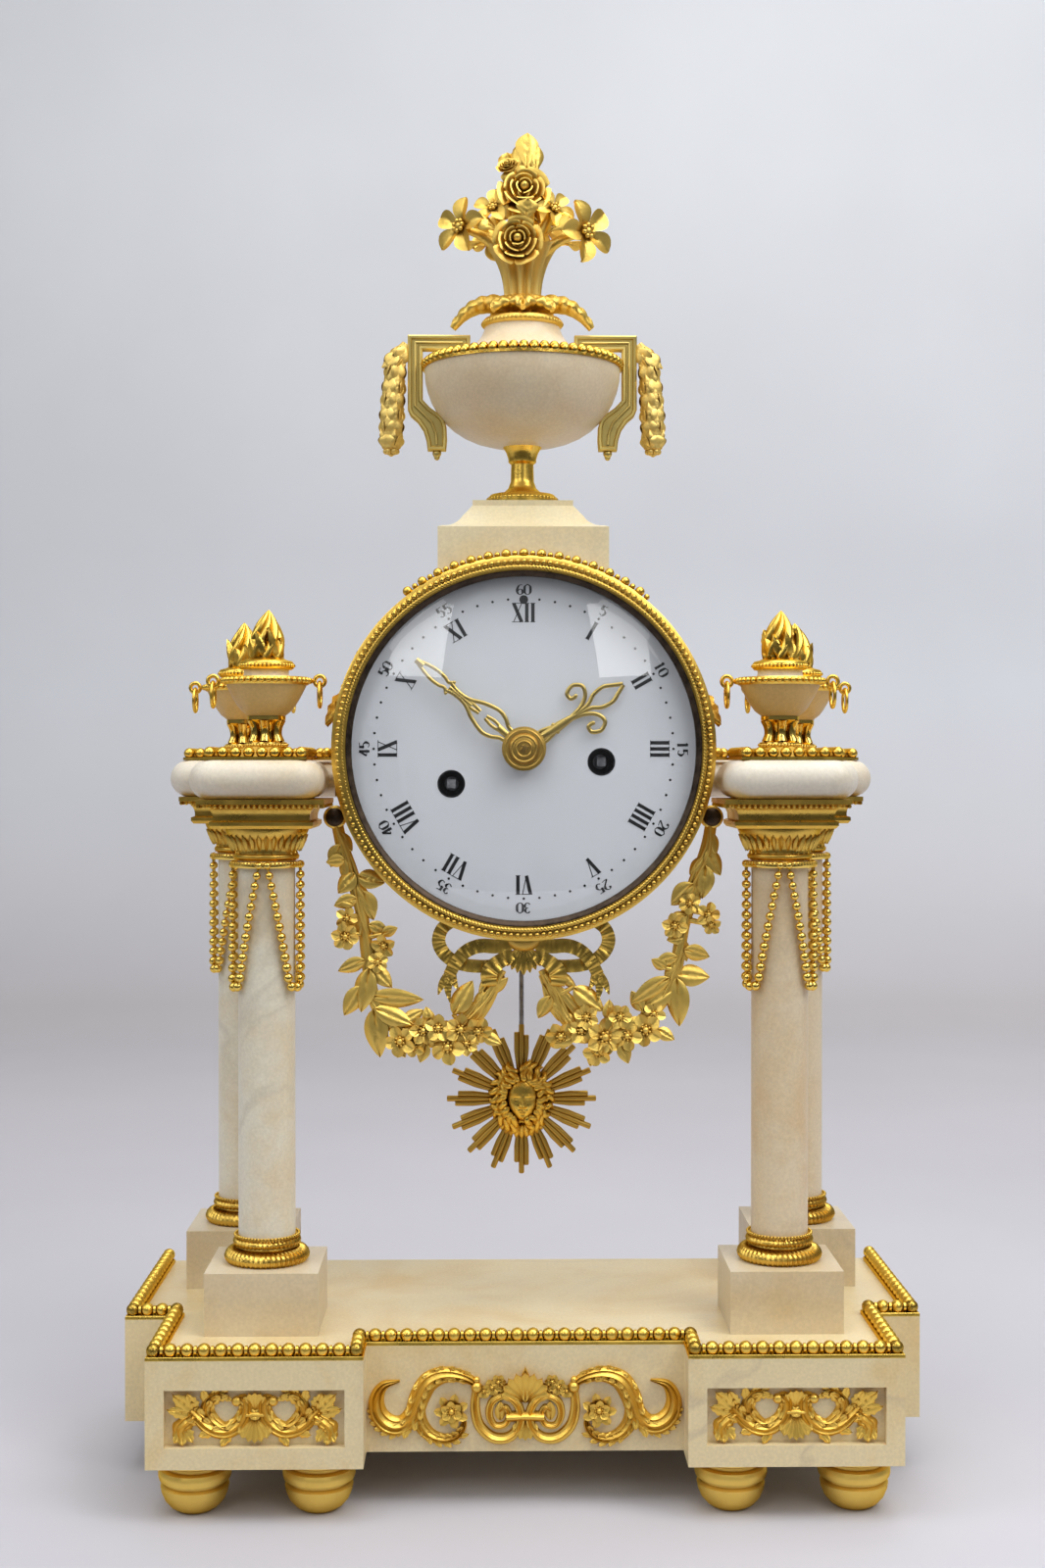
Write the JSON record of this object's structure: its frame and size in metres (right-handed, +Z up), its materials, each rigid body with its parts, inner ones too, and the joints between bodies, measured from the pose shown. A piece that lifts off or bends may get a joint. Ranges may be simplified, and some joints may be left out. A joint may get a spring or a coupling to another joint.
{
  "type": "portico clock",
  "caption": "Marble and gilt-bronze portico clock: a drum movement between columns, with a sunburst pendulum, urns and a vase of flowers on top.",
  "frame": {"origin": "on the table under the middle of the base", "axes": "+X to the right seen from the front, +Y to the back, +Z up"},
  "size_m": [0.31, 0.1484, 0.532],
  "materials": {
    "marble": "polished cream marble with faint warm veins",
    "gilt_bronze": "chased and burnished gilding",
    "enamel": "glossy white enamel with black and plain numerals",
    "glass": "clear domed glass",
    "steel": "blued and polished steel",
    "movement_brass": "brushed movement brass"
  },
  "bodies": {
    "case": {"base_block": "marble", "toupie_feet": "gilt_bronze", "base_bead_trim": "gilt_bronze", "base_mounts": "gilt_bronze", "column_plinths": "marble", "column_bases": "gilt_bronze", "column_shafts": "marble", "column_capitals": "gilt_bronze", "bead_swags": "gilt_bronze", "entablatures": "marble", "bead_galleries": "gilt_bronze", "garlands": "gilt_bronze", "ribbon_bow": "gilt_bronze", "urn_feet": "gilt_bronze", "urn_bowls": "marble", "urn_rims": "gilt_bronze", "urn_flames": "gilt_bronze", "drum_case": "gilt_bronze", "drum_ornament": "gilt_bronze", "dial": "enamel", "hinge_pins": "steel", "top_plinth": "marble", "vase_foot": "gilt_bronze", "vase_bowl": "marble", "vase_rim": "gilt_bronze", "vase_lid": "marble", "bouquet": "gilt_bronze", "vase_handles": "gilt_bronze", "vase_laurels": "gilt_bronze", "movement_plates": "movement_brass", "bell": "movement_brass"},
    "bezel": {"front_bezel": "gilt_bronze", "bezel_glass": "glass"},
    "door": {"back_door": "gilt_bronze"},
    "minute": {"cannon_pinion": "steel", "minute_hand": "gilt_bronze", "hand_collet": "gilt_bronze"},
    "hour": {"hour_wheel": "movement_brass", "hour_hand": "gilt_bronze"},
    "motion": {"motion_wheel": "movement_brass"},
    "going_barrel": {"going_barrel": "movement_brass"},
    "going_arbor": {"going_arbor": "steel"},
    "strike_barrel": {"strike_barrel": "movement_brass"},
    "strike_arbor": {"strike_arbor": "steel"},
    "second": {"second_wheel": "movement_brass"},
    "centre": {"centre_wheel": "movement_brass"},
    "third": {"third_wheel": "movement_brass"},
    "escape": {"escape_wheel": "movement_brass"},
    "pallets": {"pallet_anchor": "steel"},
    "pendulum": {"pendulum_rod": "steel", "pendulum_bob": "gilt_bronze"},
    "hammer": {"hammer": "steel"},
    "ring_front_left_outer": {"ring_front_left_outer": "gilt_bronze"},
    "ring_front_left_inner": {"ring_front_left_inner": "gilt_bronze"},
    "ring_front_right_inner": {"ring_front_right_inner": "gilt_bronze"},
    "ring_front_right_outer": {"ring_front_right_outer": "gilt_bronze"},
    "ring_rear_left_outer": {"ring_rear_left_outer": "gilt_bronze"},
    "ring_rear_left_inner": {"ring_rear_left_inner": "gilt_bronze"},
    "ring_rear_right_inner": {"ring_rear_right_inner": "gilt_bronze"},
    "ring_rear_right_outer": {"ring_rear_right_outer": "gilt_bronze"}
  },
  "joints": [
    {"name": "bezel_hinge", "type": "hinge", "parent": "case", "child": "bezel", "pos_m": [-0.071, -0.025, 0.282], "axis": [0, 0, -1], "range_deg": [0, 75]},
    {"name": "door_hinge", "type": "hinge", "parent": "case", "child": "door", "pos_m": [0.071, 0.0528, 0.282], "axis": [0, 0, -1], "range_deg": [0, 95]},
    {"name": "minute_turn", "type": "hinge", "parent": "case", "child": "minute", "pos_m": [0, -0.02, 0.282], "axis": [0, 1, 0], "continuous": true},
    {"name": "motion_turn", "type": "hinge", "parent": "case", "child": "motion", "pos_m": [0, -0.011, 0.294], "axis": [0, 1, 0], "continuous": true},
    {"name": "hour_turn", "type": "hinge", "parent": "case", "child": "hour", "pos_m": [0, -0.018, 0.282], "axis": [0, 1, 0], "continuous": true},
    {"name": "escape_turn", "type": "hinge", "parent": "case", "child": "escape", "pos_m": [0, 0.0126, 0.312], "axis": [0, 1, 0], "continuous": true},
    {"name": "third_turn", "type": "hinge", "parent": "case", "child": "third", "pos_m": [0.01123, 0.01, 0.29951], "axis": [0, 1, 0], "continuous": true},
    {"name": "centre_turn", "type": "hinge", "parent": "case", "child": "centre", "pos_m": [0, 0.01, 0.282], "axis": [0, 1, 0], "continuous": true},
    {"name": "second_turn", "type": "hinge", "parent": "case", "child": "second", "pos_m": [0.01139, 0.01, 0.26436], "axis": [0, 1, 0], "continuous": true},
    {"name": "going_turn", "type": "hinge", "parent": "case", "child": "going_barrel", "pos_m": [0.03, 0.01, 0.277], "axis": [0, 1, 0], "continuous": true},
    {"name": "going_winding", "type": "hinge", "parent": "case", "child": "going_arbor", "pos_m": [0.03, 0.01, 0.277], "axis": [0, 1, 0], "continuous": true},
    {"name": "strike_turn", "type": "hinge", "parent": "case", "child": "strike_barrel", "pos_m": [-0.028, 0.01, 0.2685], "axis": [0, 1, 0], "continuous": true},
    {"name": "strike_winding", "type": "hinge", "parent": "case", "child": "strike_arbor", "pos_m": [-0.028, 0.01, 0.2685], "axis": [0, 1, 0], "continuous": true},
    {"name": "pendulum_swing", "type": "hinge", "parent": "case", "child": "pendulum", "pos_m": [0, 0.034, 0.328], "axis": [0, 1, 0], "range_deg": [-5, 5]},
    {"name": "pallet_rock", "type": "hinge", "parent": "case", "child": "pallets", "pos_m": [0, 0.0126, 0.328], "axis": [0, 1, 0], "range_deg": [-5, 5]},
    {"name": "hammer_lift", "type": "hinge", "parent": "case", "child": "hammer", "pos_m": [-0.03, 0.033, 0.248], "axis": [0, -1, 0], "range_deg": [0, 15], "stiffness_Nm_per_rad": 0.002, "springref_deg": -8.59},
    {"name": "ring_front_left_outer_swing", "type": "hinge", "parent": "case", "child": "ring_front_left_outer", "pos_m": [-0.1201, -0.0217, 0.3082], "axis": [0, 1, 0], "range_deg": [-20, 75]},
    {"name": "ring_front_left_inner_swing", "type": "hinge", "parent": "case", "child": "ring_front_left_inner", "pos_m": [-0.0789, -0.0217, 0.3082], "axis": [0, -1, 0], "range_deg": [-20, 15]},
    {"name": "ring_front_right_inner_swing", "type": "hinge", "parent": "case", "child": "ring_front_right_inner", "pos_m": [0.0789, -0.0217, 0.3082], "axis": [0, 1, 0], "range_deg": [-20, 15]},
    {"name": "ring_front_right_outer_swing", "type": "hinge", "parent": "case", "child": "ring_front_right_outer", "pos_m": [0.1201, -0.0217, 0.3082], "axis": [0, -1, 0], "range_deg": [-20, 75]},
    {"name": "ring_rear_left_outer_swing", "type": "hinge", "parent": "case", "child": "ring_rear_left_outer", "pos_m": [-0.1371, 0.048, 0.3082], "axis": [0, 1, 0], "range_deg": [-20, 75]},
    {"name": "ring_rear_left_inner_swing", "type": "hinge", "parent": "case", "child": "ring_rear_left_inner", "pos_m": [-0.0959, 0.048, 0.3082], "axis": [0, -1, 0], "range_deg": [-20, 75]},
    {"name": "ring_rear_right_inner_swing", "type": "hinge", "parent": "case", "child": "ring_rear_right_inner", "pos_m": [0.0959, 0.048, 0.3082], "axis": [0, 1, 0], "range_deg": [-20, 75]},
    {"name": "ring_rear_right_outer_swing", "type": "hinge", "parent": "case", "child": "ring_rear_right_outer", "pos_m": [0.1371, 0.048, 0.3082], "axis": [0, -1, 0], "range_deg": [-20, 75]}
  ],
  "couplings": [
    {"joint": "motion_turn", "follows": "minute_turn", "ratio": -0.33333},
    {"joint": "hour_turn", "follows": "minute_turn", "ratio": 0.083333},
    {"joint": "third_turn", "follows": "escape_turn", "ratio": -0.090909},
    {"joint": "centre_turn", "follows": "escape_turn", "ratio": 0.0075758},
    {"joint": "second_turn", "follows": "escape_turn", "ratio": -0.0012626},
    {"joint": "going_turn", "follows": "escape_turn", "ratio": 0.00019425},
    {"joint": "pallet_rock", "follows": "pendulum_swing", "ratio": 1}
  ]
}
